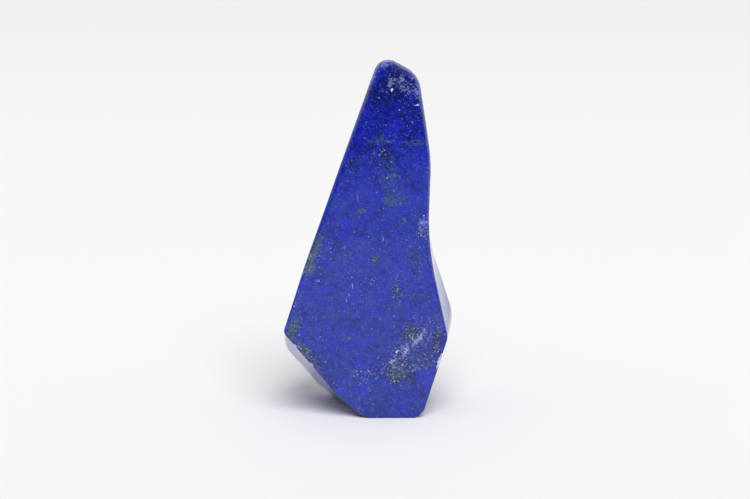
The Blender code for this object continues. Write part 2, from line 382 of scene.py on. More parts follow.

# How strongly a painted highlight makes the rounded edge of the front face pale: low down, near
# the nose and along the narrow part's right side; how pale the chips are; and what the nose's left
# and right lack of the highlight
HIGHLIGHT_LOW = 0.08
HIGHLIGHT_HIGH = 0.85
HIGHLIGHT_RIGHT_SIDE = 0.42
CHIP_PALENESS = 1.3
LESS_HIGHLIGHT_LEFT = 0.60
LESS_HIGHLIGHT_RIGHT = 0.50

# Where the painted highlight starts and where it is full, in millimetres up the stone and along
# its depth
HIGHLIGHT_HEIGHTS = (78.0, 112.0)
HIGHLIGHT_SIDE_HEIGHTS = (58.0, 66.0)
HIGHLIGHT_DEPTHS = (4.0, -2.0)

# The same by how far the surface turns to the back, where the front face ends and where the flank
# begins, and by how far it turns up, to the left and to the right
FACE_ENDS = (-0.76, -0.34)
FLANK_BEGINS = (0.30, -0.05)
TURNED_UP = (-0.25, 0.55)
TURNED_LEFT = (0.0, -0.6)
TURNED_RIGHT = (0.0, 0.5)
TURNED_TO_SIDE = (0.20, 0.50)

# Veins behind the front face, full between these depths: zone, size in millimetres, where the
# noise starts and ends, most. Each vein's noise is moved aside by so many times its size.
VEIN_DEPTHS = (-9.0, -4.0)
VEIN_SHIFT = (3.0, 5.0, 0.0)
VEINS = (
    ("green", 13.0, 0.52, 0.66, 0.75),
    ("dark", 10.0, 0.52, 0.68, 0.70),
    ("calcite", 17.0, 0.58, 0.72, 0.50),
    ("bright", 8.0, 0.52, 0.68, 0.70),
    ("pyrite", 12.0, 0.54, 0.68, 0.80),
)

# Single grains that stand out on the front face: place and radius in millimetres
PALE_FLECKS = (
    (0.2, 103.6, 0.48), (0.2, 103.2, 0.38), (0.8, 110.7, 0.18), (1.1, 108.9, 0.20),
    (3.0, 107.1, 0.26), (2.5, 97.4, 0.26), (5.8, 90.9, 0.21), (6.1, 91.2, 0.15),
    (-8.2, 88.9, 0.21), (7.9, 98.9, 0.30), (8.7, 99.1, 0.38), (9.0, 98.5, 0.35), (7.1, 98.8, 0.18),
    (-1.3, 76.7, 0.25), (8.3, 69.5, 0.13), (9.2, 69.5, 0.11), (10.4, 69.5, 0.13),
    (10.1, 65.0, 0.30), (11.1, 64.4, 0.43), (11.1, 63.0, 0.36), (9.4, 62.7, 0.26),
    (10.9, 61.1, 0.30), (11.2, 60.2, 0.38), (9.2, 58.8, 0.30), (10.5, 58.6, 0.26),
    (8.6, 61.1, 0.18), (-19.2, 55.3, 0.21), (-18.8, 54.7, 0.21), (-18.5, 50.6, 0.14),
    (-22.1, 48.5, 0.21), (-22.4, 44.3, 0.25), (-23.0, 44.2, 0.21), (-24.5, 56.3, 0.18),
    (-24.8, 52.2, 0.25), (-1.4, 51.4, 0.15), (6.0, 47.2, 0.15), (9.1, 42.6, 0.15),
    (7.5, 33.5, 0.21), (-8.7, 48.1, 0.11), (-4.1, 42.0, 0.11), (9.4, 27.1, 0.32),
    (9.5, 25.8, 0.27), (8.7, 26.4, 0.23), (10.1, 29.2, 0.16), (8.6, 29.2, 0.16), (1.6, 21.6, 0.32),
    (2.2, 21.9, 0.27), (3.8, 20.3, 0.23), (4.7, 22.7, 0.32), (5.2, 23.1, 0.27), (4.2, 21.8, 0.27),
    (5.6, 21.1, 0.23), (1.7, 24.7, 0.18), (-0.8, 19.5, 0.16), (1.0, 18.9, 0.27), (0.2, 17.9, 0.29),
    (3.8, 17.6, 0.18), (4.4, 17.1, 0.16), (14.7, 18.3, 0.35), (15.2, 19.6, 0.30),
    (14.4, 16.7, 0.30), (-14.6, 56.1, 0.09), (-10.1, 56.9, 0.09), (-19.5, 30.3, 0.11),
    (-22.6, 29.0, 0.14), (-11.8, 42.3, 0.09),
)
GOLD_FLECKS = (
    (-2.7, 84.8, 0.27), (-2.5, 85.3, 0.15), (2.5, 91.8, 0.08), (1.9, 102.3, 0.08),
    (4.2, 102.6, 0.08), (-0.1, 76.1, 0.15), (7.5, 70.9, 0.14), (4.1, 68.8, 0.09),
    (-10.2, 85.2, 0.12), (-12.1, 82.8, 0.21), (-13.6, 80.0, 0.15), (-11.0, 79.7, 0.14),
    (-12.2, 77.0, 0.11), (7.9, 84.0, 0.12), (-9.9, 66.6, 0.15), (-9.2, 66.0, 0.12),
    (4.0, 63.6, 0.15), (4.4, 56.3, 0.17), (8.3, 54.5, 0.19), (8.0, 53.6, 0.19),
    (-25.5, 51.0, 0.20), (-24.9, 50.2, 0.19), (-26.4, 48.8, 0.25), (-26.7, 47.2, 0.25),
    (-26.3, 46.1, 0.25), (-5.6, 51.9, 0.19), (-4.5, 51.5, 0.25), (-3.9, 52.2, 0.17),
    (-5.0, 50.8, 0.19), (-12.9, 51.5, 0.12), (-14.8, 46.0, 0.15), (-9.8, 45.7, 0.13),
    (-17.3, 41.0, 0.19), (2.3, 44.7, 0.17), (2.1, 41.8, 0.30), (0.8, 39.3, 0.25),
    (0.8, 33.2, 0.28), (2.8, 33.0, 0.18), (5.0, 32.7, 0.14), (12.0, 35.6, 0.15),
    (-25.1, 36.5, 0.15), (-16.4, 35.7, 0.12), (-15.9, 34.9, 0.12), (-30.1, 36.3, 0.30),
    (-30.2, 37.6, 0.19), (-30.1, 30.1, 0.27), (-31.7, 28.3, 0.25), (-28.7, 27.0, 0.32),
    (-30.8, 26.0, 0.18), (-25.4, 31.7, 0.13), (-17.6, 28.7, 0.13), (-23.8, 26.2, 0.12),
    (-5.9, 27.1, 0.17), (-5.2, 26.5, 0.13), (-29.1, 23.3, 0.25), (-28.2, 22.7, 0.37),
    (-26.9, 20.3, 0.25), (-24.9, 19.3, 0.18), (-23.9, 19.0, 0.19), (4.7, 28.9, 0.29),
    (5.8, 26.9, 0.36), (6.7, 26.0, 0.37), (14.5, 26.6, 0.19), (12.5, 26.7, 0.15),
    (13.5, 23.0, 0.29), (14.1, 27.7, 0.15), (-1.4, 20.8, 0.15), (0.0, 14.2, 0.29),
    (1.1, 12.2, 0.37), (2.4, 14.5, 0.28), (2.2, 12.2, 0.29), (1.3, 15.5, 0.18), (3.2, 15.8, 0.15),
    (-0.6, 15.8, 0.15), (0.3, 12.9, 0.18), (3.8, 17.1, 0.15), (-7.0, 15.5, 0.32),
    (-8.8, 14.2, 0.13), (-6.9, 9.8, 0.25), (-6.7, 10.6, 0.15), (-3.6, 14.8, 0.18),
    (-11.6, 13.8, 0.30), (-3.3, 4.1, 0.19), (6.8, 3.2, 0.17), (8.2, 3.7, 0.15), (5.5, 13.0, 0.17),
    (5.3, 15.4, 0.15),
)


def front_depth_at(x, z):
    """How far along Y the front face lies at a place of the outline's plane."""
    rise = max(0.0, z - LEAN_START) / (HEIGHT - LEAN_START)
    bow = BOW_AT_FOOT + (BOW_AT_TOP - BOW_AT_FOOT) * (z / HEIGHT) ** BOW_LATENESS
    middle = FACE_MIDDLE_AT_FOOT + FACE_MIDDLE_SLOPE * z
    return -FRONT_DEPTH + LEAN_AT_TOP * rise**2 + bow * (x - middle) ** 2


def girdle_depth_at(z):
    """How far along Y the widest line of the flank lies at a height."""
    share = (z / HEIGHT) ** GIRDLE_LATENESS
    return GIRDLE_DEPTH_LOW + (GIRDLE_DEPTH_TOP - GIRDLE_DEPTH_LOW) * share


def ridge_at(z):
    """Where the soft ridge of the back runs, as an x at a height."""
    return RIDGE_AT_FOOT + RIDGE_SLOPE * z


def back_depth_at(x, z):
    """How far along Y the back lies: two facets that fall away from the soft ridge."""
    fall = BACK_FALL * ((z - BACK_FULL_HEIGHT) / HEIGHT) ** 2
    aside = x - ridge_at(z)
    reach = math.hypot(aside, RIDGE_SOFTNESS)
    slope = BACK_SLOPE + BACK_SLOPE_SKEW * aside / reach
    return BACK_DEPTH - fall - slope * (reach - RIDGE_SOFTNESS)


def rounded_corner(before, corner, after, radius, steps, share=LONGEST_REACH):
    """The points of an arc that rounds a corner between two straight legs."""
    back, ahead = before - corner, after - corner
    turn = math.pi - back.angle(ahead)
    half = math.tan(turn / 2)
    reach = min(radius * half, share * back.length, LONGEST_REACH * ahead.length)
    start = corner + back.normalized() * reach
    end = corner + ahead.normalized() * reach
    if turn < LEAST_TURN:
        return [start.lerp(end, step / steps) for step in range(steps + 1)]
    inward = (back.normalized() + ahead.normalized()).normalized()
    centre = corner + inward * (reach / half) / math.cos(turn / 2)
    points = []
    for step in range(steps + 1):
        first = math.sin((1 - step / steps) * turn) / math.sin(turn)
        last = math.sin(step / steps * turn) / math.sin(turn)
        points.append(centre + (start - centre) * first + (end - centre) * last)
    return points


def straight_run(start, end, steps):
    """The points between two places, without the places themselves."""
    return [start.lerp(end, step / steps) for step in range(1, steps)]


def walk_outline(corners):
    """The outline's points, from the middle of the right foot's arc up the right side."""
    places = [Vector((corners[stop.name].x, corners[stop.name].z)) for stop in WALK]
    arcs = []
    for index, stop in enumerate(WALK):
        before, after = places[index - 1], places[(index + 1) % len(WALK)]
        radius = corners[stop.name].radius
        arcs.append(rounded_corner(before, places[index], after, radius, stop.arc_steps))
    points = []
    for index, stop in enumerate(WALK):
        points += arcs[index]
        points += straight_run(arcs[index][-1], arcs[(index + 1) % len(WALK)][0], stop.side_steps)
    half_foot = WALK[0].arc_steps // 2
    return points[half_foot:] + points[:half_foot]


def walk_values(values):
    """A value at each point of the outline, held in the arcs and blended along the sides."""
    found = []
    for index, stop in enumerate(WALK):
        here, there = values[stop.name], values[WALK[(index + 1) % len(WALK)].name]
        found += [here] * (stop.arc_steps + 1)
        for step in range(1, stop.side_steps):
            found.append(here + (there - here) * step / stop.side_steps)
    half_foot = WALK[0].arc_steps // 2
    return found[half_foot:] + found[:half_foot]


def inward_normals(outline):
    """The unit vector that points into the face at each point of an outline."""
    normals = []
    for index, here in enumerate(outline):
        arriving = (here - outline[index - 1]).normalized()
        leaving = (outline[(index + 1) % len(outline)] - here).normalized()
        along = (arriving + leaving).normalized()
        normals.append(Vector((-along.y, along.x)))
    return normals


def flank_rib(face_point, front, girdle, back, back_rim, front_round):
    """One line of points across the flank, from the front face to the back."""
    steps = FRONT_ROUND_STEPS
    over_front = rounded_corner(face_point, front, girdle, front_round, steps, FACE_REACH)
    over_girdle = rounded_corner(front, girdle, back, GIRDLE_ROUND, GIRDLE_ROUND_STEPS)
    over_back = rounded_corner(girdle, back, back_rim, BACK_EDGE_ROUND, BACK_ROUND_STEPS)
    rib = [face_point] + over_front
    rib += straight_run(over_front[-1], over_girdle[0], FLANK_STEPS)
    rib += over_girdle + straight_run(over_girdle[-1], over_back[0], BACK_SIDE_STEPS)
    return rib + over_back + straight_run(over_back[-1], back_rim, BACK_RIM_STEPS) + [back_rim]


def flank_ribs():
    """All the ribs of the flank, one for each point of the outlines."""
    front = walk_outline(FRONT_EDGE)
    girdle = walk_outline(GIRDLE)
    back = walk_outline(BACK_EDGE)
    rounds = walk_values(FRONT_ROUND)
    ribs = []
    for index, inward in enumerate(inward_normals(front)):
        edge, wide, far = front[index], girdle[index], back[index]
        face = edge + inward * FACE_INSET * rounds[index]
        ridge_height = min(max(far.y, RIDGE_LOW_END), RIDGE_HIGH_END)
        rim = far.lerp(Vector((ridge_at(ridge_height), ridge_height)), BACK_RIM_SHARE)
        ribs.append(
            flank_rib(
                Vector((face.x, front_depth_at(face.x, face.y), face.y)),
                Vector((edge.x, front_depth_at(edge.x, edge.y), edge.y)),
                Vector((wide.x, girdle_depth_at(wide.y), wide.y)),
                Vector((far.x, back_depth_at(far.x, far.y), far.y)),
                Vector((rim.x, back_depth_at(rim.x, rim.y), rim.y)),
                rounds[index],
            )
        )
    return ribs


def rim_index(row, column):
    """Where along a ring of points a place on the rim of the net lies."""
    if column == 0:
        return row
    if column == FACE_COLUMNS:
        return 2 * FACE_ROWS + FACE_COLUMNS - row
    return -column if row == 0 else FACE_ROWS + column


def net_place(ring, row, column):
    """A place inside a ring of points, blended from the ring's four sides."""
    up, over = row / FACE_ROWS, column / FACE_COLUMNS
    left, right = ring[rim_index(row, 0)], ring[rim_index(row, FACE_COLUMNS)]
    low, high = ring[rim_index(0, column)], ring[rim_index(FACE_ROWS, column)]
    low_left, low_right = ring[rim_index(0, 0)], ring[rim_index(0, FACE_COLUMNS)]
    high_left = ring[rim_index(FACE_ROWS, 0)]
    high_right = ring[rim_index(FACE_ROWS, FACE_COLUMNS)]
    sides = left * (1 - over) + right * over + low * (1 - up) + high * up
    corners = (low_left * (1 - over) + low_right * over) * (1 - up)
    corners += (high_left * (1 - over) + high_right * over) * up
    return sides - corners


def add_net(bm, ring, depth_at):
    """Closes one end of the flank with a net of faces that follows the face's own depth."""
    places = [vert.co.copy() for vert in ring]
    net = {}
    for row in range(FACE_ROWS + 1):
        for column in range(FACE_COLUMNS + 1):
            if 0 < row < FACE_ROWS and 0 < column < FACE_COLUMNS:
                place = net_place(places, row, column)
                place.y = depth_at(place.x, place.z)
                net[row, column] = bm.verts.new(place)
            else:
                net[row, column] = ring[rim_index(row, column)]
    for row in range(FACE_ROWS):
        for column in range(FACE_COLUMNS):
            spots = ((row, column), (row, column + 1), (row + 1, column + 1), (row + 1, column))
            bm.faces.new([net[spot] for spot in spots])


def polish_wave(place):
    """How far polishing leaves the surface proud of the true form at a place."""
    swell = noise.noise(place / WAVE_LENGTH)
    swell += SMALL_WAVES * noise.noise(place / (WAVE_LENGTH * SMALL_WAVES))
    return WAVE_HEIGHT * swell * min(1.0, max(0.0, place.z / FOOT_STAYS_FLAT))


def scooped(place):
    """A place on the surface after the chips have been broken out."""
    for scoop in SCOOPS:
        centre = Vector((scoop.x, scoop.y, scoop.z))
        out = place - centre
        if 0 < out.length < scoop.radius:
            place = centre + out.normalized() * scoop.radius
    return place


def cut_finer_at_chips(bm):
    """Gives the surface around each chip smaller faces."""
    near = set()
    for scoop in SCOOPS:
        centre = Vector((scoop.x, scoop.y, scoop.z))
        for vert in bm.verts:
            if (vert.co - centre).length < scoop.radius + CHIP_REACH:
                near.update(vert.link_edges)
    bmesh.ops.subdivide_edges(bm, edges=list(near), cuts=CHIP_CUTS, use_grid_fill=True)


def stone_mesh():
    """The whole stone as one closed mesh: the flank, the front face and the back."""
    bm = bmesh.new()
    columns = [[bm.verts.new(point) for point in rib] for rib in flank_ribs()]
    for index, rib in enumerate(columns):
        following = columns[(index + 1) % len(columns)]
        for step in range(len(rib) - 1):
            bm.faces.new((rib[step], rib[step + 1], following[step + 1], following[step]))
    add_net(bm, [rib[0] for rib in columns], front_depth_at)
    add_net(bm, [rib[-1] for rib in columns], back_depth_at)
    cut_finer_at_chips(bm)
    bmesh.ops.recalc_face_normals(bm, faces=bm.faces)
    bm.normal_update()
    for vert in bm.verts:
        vert.co = vert.co + vert.normal * polish_wave(vert.co)
    for vert in bm.verts:
        vert.co = scooped(vert.co) * MM
    mesh = bpy.data.meshes.new("lapis_freeform")
    bm.to_mesh(mesh)
    bm.free()
    mesh.shade_smooth()
    return mesh


def eased(values, span):
    """Eases values from 0 at the start of a span to 1 at its end."""
    start, end = span
    share = np.clip((values - start) / (end - start), 0.0, 1.0)
    return share * share * (3 - 2 * share)


def patch_strength(places, patches):
    """How strongly a list of patches colours each place of the stone."""
    strength = np.zeros(len(places))
    for x, z, wide, high, degrees, most in patches:
        across, up, turn = places[:, 0] - x, places[:, 2] - z, math.radians(degrees)
        along = (across * math.cos(turn) + up * math.sin(turn)) / wide
        aside = (up * math.cos(turn) - across * math.sin(turn)) / high
        deep = (places[:, 1] - front_depth_at(x, z)) / (wide + high)
        away = np.sqrt(along**2 + aside**2 + deep**2)
        strength = np.maximum(strength, most * eased(away, PATCH_FADE))
    return strength


def edge_highlight_and_chips(places, turned):
    """How strongly a highlight is painted pale on the rounded edge of the front face, and how pale
    each chip is, at each place.
    """
    # Painted highlight: the rounded edge is paler where it turns towards the light
    right, back, up = turned.T
    rounded = eased(back, FACE_ENDS) * eased(back, FLANK_BEGINS)
    rounded = rounded * eased(places[:, 1], HIGHLIGHT_DEPTHS)
    upward = eased(up, TURNED_UP)
    upward = upward * (1 - LESS_HIGHLIGHT_LEFT * eased(right, TURNED_LEFT))
    upward = upward * (1 - LESS_HIGHLIGHT_RIGHT * eased(right, TURNED_RIGHT))
    height = eased(places[:, 2], HIGHLIGHT_HEIGHTS)
    highlight_and_chips = rounded * (HIGHLIGHT_LOW + (HIGHLIGHT_HIGH - HIGHLIGHT_LOW) * height * upward)
    beside = eased(right, TURNED_TO_SIDE) * eased(places[:, 2], HIGHLIGHT_SIDE_HEIGHTS)
    highlight_and_chips = np.maximum(highlight_and_chips, HIGHLIGHT_RIGHT_SIDE * rounded * beside)
    for scoop in SCOOPS:
        away = np.linalg.norm(places - np.array((scoop.x, scoop.y, scoop.z)), axis=1)
        highlight_and_chips = np.maximum(highlight_and_chips, CHIP_PALENESS * (away < scoop.radius + CHIP_RIM))
    return highlight_and_chips


def paint_minerals(mesh):
    """Stores where the minerals lie, and the painted highlight on the rounded edge with the paler
    chips, for the stone's material to read.
    """
    places = np.empty(len(mesh.vertices) * 3)
    mesh.vertices.foreach_get("co", places)
    places = places.reshape(-1, 3) / MM
    turned = np.empty(len(mesh.vertices) * 3)
    mesh.vertices.foreach_get("normal", turned)
    patches = {
        "green": GREEN_PATCHES,
        "calcite": CALCITE_PATCHES,
        "dark": DARK_PATCHES,
        "bright": BRIGHT_PATCHES,
        "pyrite": PYRITE_PATCHES,
    }
    for layer_name, zone_names in ZONE_LAYERS.items():
        paint = np.ones((len(places), 4), np.float32)
        for channel, zone_name in enumerate(zone_names):
            if zone_name == "highlight_and_chips":
                paint[:, channel] = edge_highlight_and_chips(places, turned.reshape(-1, 3))
            else:
                paint[:, channel] = patch_strength(places, patches[zone_name])
        layer = mesh.color_attributes.new(layer_name, "FLOAT_COLOR", "POINT")
        layer.data.foreach_set("color", paint.ravel())


class Recipe:
    """Short ways to add and join the nodes of one material."""

    def __init__(self, name):
        self.material = bpy.data.materials.new(name)
        self.material.use_nodes = True
        self.tree = self.material.node_tree
        self.shader = self.tree.nodes["Principled BSDF"]

    def feed(self, socket, value):
        if isinstance(value, bpy.types.NodeSocket):
            self.tree.links.new(value, socket)
        else:
            socket.default_value = value

    def node(self, kind, inputs=None, **settings):
        made = self.tree.nodes.new(kind)
        for name, value in settings.items():
            setattr(made, name, value)
        for name, value in (inputs or {}).items():
            self.feed(made.inputs[name], value)
        return made

    def math(self, operation, *values):
        made = self.node("ShaderNodeMath", operation=operation)
        for socket, value in zip(made.inputs, values):
            self.feed(socket, value)
        return made.outputs[0]

    def move(self, operation, *values):
        made = self.node("ShaderNodeVectorMath", operation=operation)
        for socket, value in zip(made.inputs, values):
            self.feed(socket, value)
        return made.outputs["Value" if operation in ("DISTANCE", "LENGTH") else "Vector"]

    def ramp(self, value, start, end, low=0.0, high=1.0):
        """Eases from a low to a high value while the value given goes from start to end."""
        inputs = {"Value": value, "From Min": start, "From Max": end, "To Min": low, "To Max": high}
        made = self.node("ShaderNodeMapRange", inputs, interpolation_type="SMOOTHSTEP")
        return made.outputs["Result"]

    def blend(self, share, low, high):
        made = self.node("ShaderNodeMix", data_type="RGBA")
        sockets = made.inputs[0], made.inputs[6], made.inputs[7]
        for socket, value in zip(sockets, (share, low, high)):
            self.feed(socket, value)
        return made.outputs[2]

    def grain(self, place, kind):
        """Soft cloudy noise of one kind."""
        inputs = {
            "Vector": place,
            "Scale": 1.0 / kind.size,
            "Detail": kind.detail,
            "Roughness": kind.rough,
            "Distortion": kind.warp,
        }
        return self.node("ShaderNodeTexNoise", inputs).outputs

    def crystals(self, place, size):
        """Three random numbers for each grain of a scatter of grains."""
        made = self.node("ShaderNodeTexVoronoi", {"Vector": place, "Scale": 1.0 / size})
        return self.node("ShaderNodeSeparateColor", {"Color": made.outputs["Color"]}).outputs


NAVY = (0.005, 0.007, 0.085, 1)
DEEP = (0.007, 0.011, 0.25, 1)
ULTRAMARINE = (0.012, 0.020, 0.42, 1)
BRIGHT_BLUE = (0.026, 0.028, 0.62, 1)
GREY_BLUE = (0.016, 0.053, 0.33, 1)
PALE_BLUE = (0.11, 0.15, 0.40, 1)
GREY_GREEN = (0.055, 0.108, 0.145, 1)
LAVENDER = (0.20, 0.23, 0.56, 1)
CALCITE = (0.66, 0.70, 0.90, 1)
# Pale lavender of the painted highlight on the rounded edge, and of the chips
HIGHLIGHT_AND_CHIP_PALE = (0.52, 0.56, 0.80, 1)
CREAM = (0.35, 0.36, 0.33, 1)
GOLD = (0.48, 0.48, 0.45, 1)
SPECK_GREY = (0.14, 0.20, 0.33, 1)

# How far inside its outline a grain reaches its full colour, in millimetres
FLECK_SOFTNESS = 0.26

# Between the first two heights in millimetres the stone gets purer and darker on the way up, and
# between the other two it gets darker on the way down, which is painted shade
PURER_HEIGHTS = (68.0, 93.0)
SHADED_FOOT_HEIGHTS = (36.0, 2.0)

# Cloudy noise: the length of its waves in millimetres, its detail, roughness and distortion
Grain = namedtuple("Grain", "size detail rough warp", defaults=(2.0, 0.5, 0.0))
VEIN_DETAIL = (3.0, 0.6, 0.6)
GREYNESS = Grain(2.8, 5.0, 0.75, 0.3)
SPECKS = Grain(0.55, 3.0, 0.75, 0.3)
GREEN_VEIL = Grain(1.0, 4.0, 0.7, 0.4)
CALCITE_VEIL = Grain(0.8, 4.0, 0.7, 0.8)
RAGGED_GRAINS = Grain(0.35)
RAGGED_FLECKS = Grain(0.5, 1.0)
HIGHLIGHT_AND_CHIP_BREAKUP = Grain(1.3, 4.0, 0.7)
SMEAR = Grain(3.0, 3.0)
PITTING = Grain(0.6)

# The blue's tone: a level, to which these noises and zones add their shares, and what is added
# near the top and, as painted shade, near the foot
TONE_LEVEL = -0.67
TONE_GRAINS = (
    (Grain(7.0, 3.0), 0.54),
    (Grain(1.9, 3.0, 0.6, 0.5), 1.00),
    (Grain(0.5, 2.0, 0.6), 0.80),
)
TONE_ZONES = (("bright", 0.26), ("dark", -0.36))
TONE_HIGH_UP = -0.10
TONE_SHADED_FOOT = -0.10

# The blues that the tone goes through
BLUES = ((0.10, NAVY), (0.34, DEEP), (0.56, ULTRAMARINE), (0.95, BRIGHT_BLUE))

# Where the greyness starts and is full, its most low down and high up, and what a bright zone
# adds to it
GREY_SPAN = (0.39, 0.63)
GREY_MOST = (0.62, 0.12)
GREY_IN_BRIGHT = -0.12

# Ramps of the specks and veils: start, end, and the cover at each
PALE_SPECKS = (0.53, 0.74, 0.0, 0.60)
DARK_SPECKS = (0.42, 0.24, 0.0, 0.75)
GREEN_CLOUD = (0.54, 0.82, 0.0, 0.70)
LAVENDER_CLOUD = (0.64, 0.90, 0.0, 0.75)
CALCITE_CLOUD = (0.84, 1.04, 0.0, 0.90)

# What a zone adds to the noise of its specks or veil, and what is added to the green's near the
# top
SPECKS_IN_DARK = -0.10
VEIL_IN_GREEN = 0.27
VEIL_IN_CALCITE = 0.34
GREEN_HIGH_UP = -0.08

# Single grains: distance between their middles in millimetres, how far their outlines are ragged,
# and the share of their cover that differs from grain to grain
COARSE_GRAINS = 0.62
SMALL_GRAINS = 0.36
RAGGEDNESS = 0.4
COVER_VARIES = 0.7

# The painted highlight on the rim and the chips' paleness are broken up by noise, and the
# flecks' outlines stray by up to half this, in millimetres
HIGHLIGHT_AND_CHIP_SPAN = (0.25, 0.60, 0.35, 1.0)
HIGHLIGHT_AND_CHIP_COVER = 0.9
FLECKS_STRAY = 0.5

# The finish: how metallic the gold flecks are, how the roughness varies with the smear, how
# strongly light bends, and how strong and how deep, in metres, the pitting of the polish is
GOLD_METALLIC = 0.35
ROUGHNESS_SPAN = (0.30, 0.75, 0.05, 0.12)
STONE_IOR = 1.5
PITTING_STRENGTH = 0.05
PITTING_DEPTH = 0.0002


def fleck_shape(stone, place, flecks):
    """Where the listed grains are: 1 in the middle of a grain and 0 outside all of them."""
    inside = 0.0
    for x, z, radius in flecks:
        middle = (x, front_depth_at(x, z), z)
        away = stone.move("DISTANCE", place, middle)
        inside = stone.math("MAXIMUM", inside, stone.math("SUBTRACT", radius, away))
    return stone.ramp(inside, 0.0, FLECK_SOFTNESS)


def streak_shape(stone, place, streaks):
    """Where the listed thin streaks are, fading out towards their ends and sides."""
    strength = 0.0
    for x, z, long, wide, degrees, most in streaks:
        inputs = {
            "Vector": place,
            "Location": (x, front_depth_at(x, z), z),
            "Rotation": (0.0, -math.radians(degrees), 0.0),
            "Scale": (long, 1.0, wide),
        }
        inside = stone.node("ShaderNodeMapping", inputs, vector_type="TEXTURE").outputs["Vector"]
        away = stone.move("LENGTH", inside)
        here = stone.ramp(away, 1.0, STREAK_CORE, 0.0, most)
        strength = stone.math("MAXIMUM", strength, here)
    return strength


def blue_body(stone, place, height, zones):
    """The blue itself: broad clouds, mottling and fine grain, greyer low down on the stone and
    darker near the foot as painted shade.
    """
    tone = TONE_LEVEL
    for kind, share in TONE_GRAINS:
        tone = stone.math("MULTIPLY_ADD", stone.grain(place, kind)["Fac"], share, tone)
    for zone, share in TONE_ZONES:
        tone = stone.math("MULTIPLY_ADD", zones[zone], share, tone)
    tone = stone.math("ADD", tone, stone.ramp(height, *PURER_HEIGHTS, 0.0, TONE_HIGH_UP))
    # Painted shade: darker towards the foot
    tone = stone.math("ADD", tone, stone.ramp(height, *SHADED_FOOT_HEIGHTS, 0.0, TONE_SHADED_FOOT))
    blue = stone.node("ShaderNodeValToRGB", {"Fac": tone})
    steps = blue.color_ramp.elements
    steps[0].position, steps[0].color = BLUES[0]
    steps[1].position, steps[1].color = BLUES[-1]
    for position, colour in BLUES[1:-1]:
        steps.new(position).color = colour

    greyness = stone.grain(place, GREYNESS)["Fac"]
    greyness = stone.math("MULTIPLY_ADD", zones["bright"], GREY_IN_BRIGHT, greyness)
    most = stone.ramp(height, *PURER_HEIGHTS, *GREY_MOST)
    share = stone.math("MULTIPLY", stone.ramp(greyness, *GREY_SPAN), most)
    return stone.blend(share, blue.outputs["Color"], GREY_BLUE)


def salt_and_pepper(stone, place, colour, dark):
    """Pale and dark specks of the size of a grain of sand, all over the stone."""
    specks = stone.grain(place, SPECKS)["Fac"]
    colour = stone.blend(stone.ramp(specks, *PALE_SPECKS), colour, PALE_BLUE)
    specks = stone.math("MULTIPLY_ADD", dark, SPECKS_IN_DARK, specks)
    return stone.blend(stone.ramp(specks, *DARK_SPECKS), colour, NAVY)


def mixed_grains(stone, place, colour, zones):
    """Single grains of other minerals, crowded where their zones are strong."""
    ragged = stone.grain(place, RAGGED_GRAINS)["Color"]
    ragged = stone.move("MULTIPLY_ADD", ragged, (RAGGEDNESS,) * 3, place)
    coarse = stone.crystals(ragged, COARSE_GRAINS)
    small = stone.crystals(ragged, SMALL_GRAINS)
    # Which grains are picked, how much of the cover each gets, in which zone, what share of the
    # grains the zone adds and what share is there without it, the most cover, and the colour
    picks = (
        (coarse["Red"], coarse["Green"], "dark", 0.42, 0.0, 0.82, NAVY),
        (coarse["Green"], small["Red"], "green", 0.45, 0.018, 0.70, GREY_GREEN),
        (small["Blue"], coarse["Red"], "green", 0.40, 0.014, 0.70, GREY_GREEN),
        (coarse["Blue"], small["Green"], "calcite", 0.45, 0.0, 0.75, LAVENDER),
        (small["Red"], coarse["Blue"], "calcite", 0.32, 0.004, 0.85, LAVENDER),
        (small["Green"], coarse["Red"], "pyrite", 0.22, 0.004, 0.85, SPECK_GREY),
        (small["Green"], coarse["Blue"], "pyrite", 0.05, 0.001, 0.85, CREAM),
    )
    for chance, depth, zone, added, always, cover, grain_colour in picks:
        wanted = stone.math("MULTIPLY_ADD", zones[zone], added, always)
        share = stone.math("LESS_THAN", chance, wanted)
        varied, steady = cover * COVER_VARIES, cover * (1 - COVER_VARIES)
        cover = stone.math("MULTIPLY_ADD", depth, varied, steady)
        colour = stone.blend(stone.math("MULTIPLY", share, cover), colour, grain_colour)
    return colour


def soft_zones(stone, place, height, colour, zones):
    """Cloudy grey-green and lavender veils under the grains of their zones."""
    share = stone.grain(place, GREEN_VEIL)["Fac"]
    share = stone.math("MULTIPLY_ADD", zones["green"], VEIL_IN_GREEN, share)
    share = stone.math("ADD", share, stone.ramp(height, *PURER_HEIGHTS, 0.0, GREEN_HIGH_UP))
    colour = stone.blend(stone.ramp(share, *GREEN_CLOUD), colour, GREY_GREEN)
    share = stone.grain(place, CALCITE_VEIL)["Fac"]
    share = stone.math("MULTIPLY_ADD", zones["calcite"], VEIL_IN_CALCITE, share)
    colour = stone.blend(stone.ramp(share, *LAVENDER_CLOUD), colour, LAVENDER)
    return stone.blend(stone.ramp(share, *CALCITE_CLOUD), colour, CALCITE)


def mineral_zones(stone, place, depth):
    """Reads the painted zones and adds veins of the same minerals behind the front face."""
    zones = {}
    for layer, names in ZONE_LAYERS.items():
        painted = stone.node("ShaderNodeVertexColor", layer_name=layer).outputs["Color"]
        channels = stone.node("ShaderNodeSeparateColor", {"Color": painted}).outputs
        for channel, name in zip(channels, names):
            zones[name] = channel
    behind = stone.ramp(depth, *VEIN_DEPTHS)
    for name, size, start, end, most in VEINS:
        shifted = stone.move("ADD", place, tuple(size * shift for shift in VEIN_SHIFT))
        vein = stone.grain(shifted, Grain(size, *VEIN_DETAIL))["Fac"]
        band = stone.ramp(vein, start, end, 0.0, most)
        band = stone.math("MULTIPLY", band, behind)
        zones[name] = stone.math("MAXIMUM", zones[name], band)
    return zones


